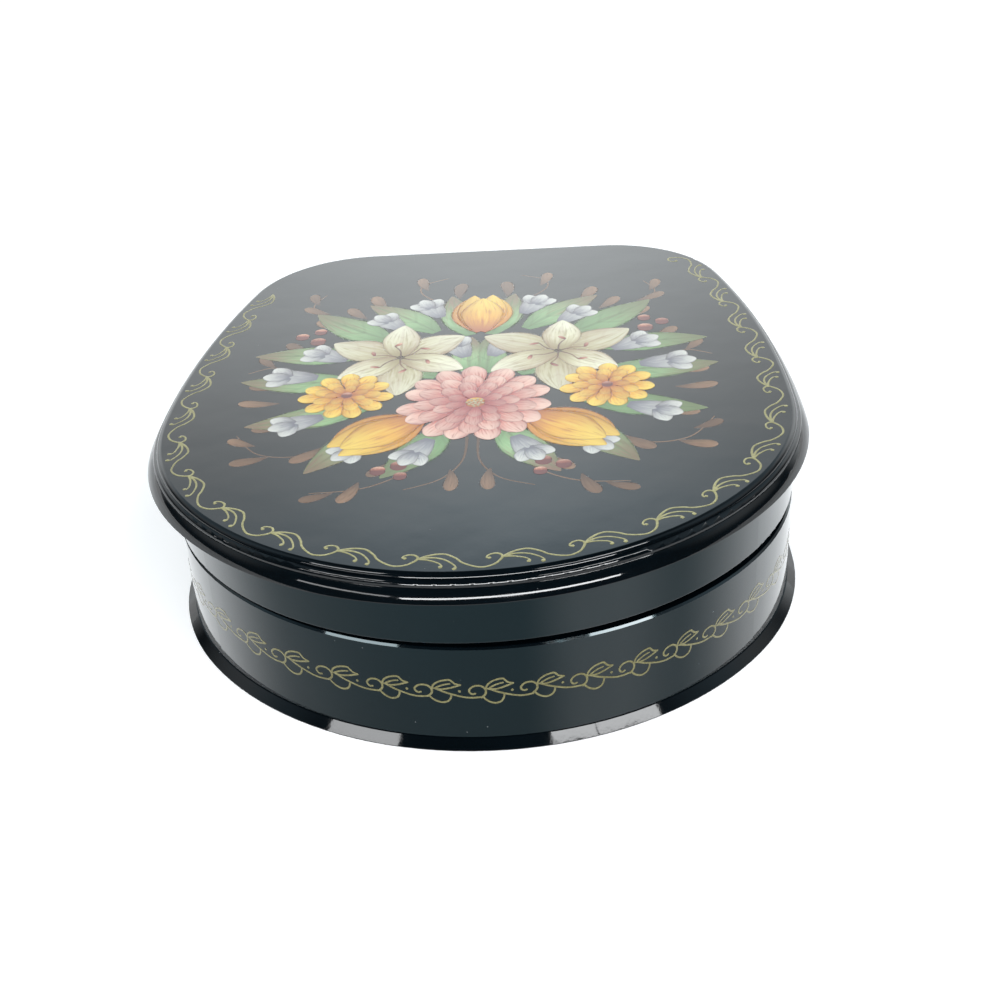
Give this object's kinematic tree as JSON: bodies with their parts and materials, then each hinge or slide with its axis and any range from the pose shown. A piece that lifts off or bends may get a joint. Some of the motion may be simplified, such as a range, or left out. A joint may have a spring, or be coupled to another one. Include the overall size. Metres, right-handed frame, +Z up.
{
  "type": "lacquer box",
  "caption": "Low keepsake box of black lacquered papier-mâché with a straight hinged back and a round front, gold scroll borders and a flower spray on its lid.",
  "frame": {"origin": "middle of the underside, at the centre of the overall width and depth", "axes": "+Z up, +Y to the straight hinged back, +X to the right as seen from the round front"},
  "size_m": [0.1207, 0.1337, 0.0358],
  "materials": {
    "base_lacquer": "black lacquer, high gloss, red inside",
    "body_lacquer": "black lacquer, high gloss, red inside",
    "collar_lacquer": "red lacquer inside, black outside, high gloss",
    "rim_lacquer": "black lacquer, high gloss, red inside",
    "lid_lacquer": "black lacquer, high gloss, red inside",
    "gold_paint": "gold paint lines under clear lacquer",
    "flower_paint": "painted flowers under clear lacquer",
    "brass": "polished brass, slightly dulled"
  },
  "bodies": {
    "box": {"base_board": "base_lacquer", "body_wall": "body_lacquer", "inner_collar": "collar_lacquer", "body_hinge_leaf": "brass", "hinge_pin": "brass", "body_hinge_nails": "brass"},
    "lid": {"lid_rim": "rim_lacquer", "lid_board": "lid_lacquer", "lid_hinge_leaf": "brass", "lid_hinge_nails": "brass"}
  },
  "joints": [
    {"name": "lid_hinge", "type": "hinge", "parent": "box", "child": "lid", "pos_m": [0, 0.0635, 0.0204], "axis": [-1, 0, 0], "range_deg": [0, 100]}
  ]
}
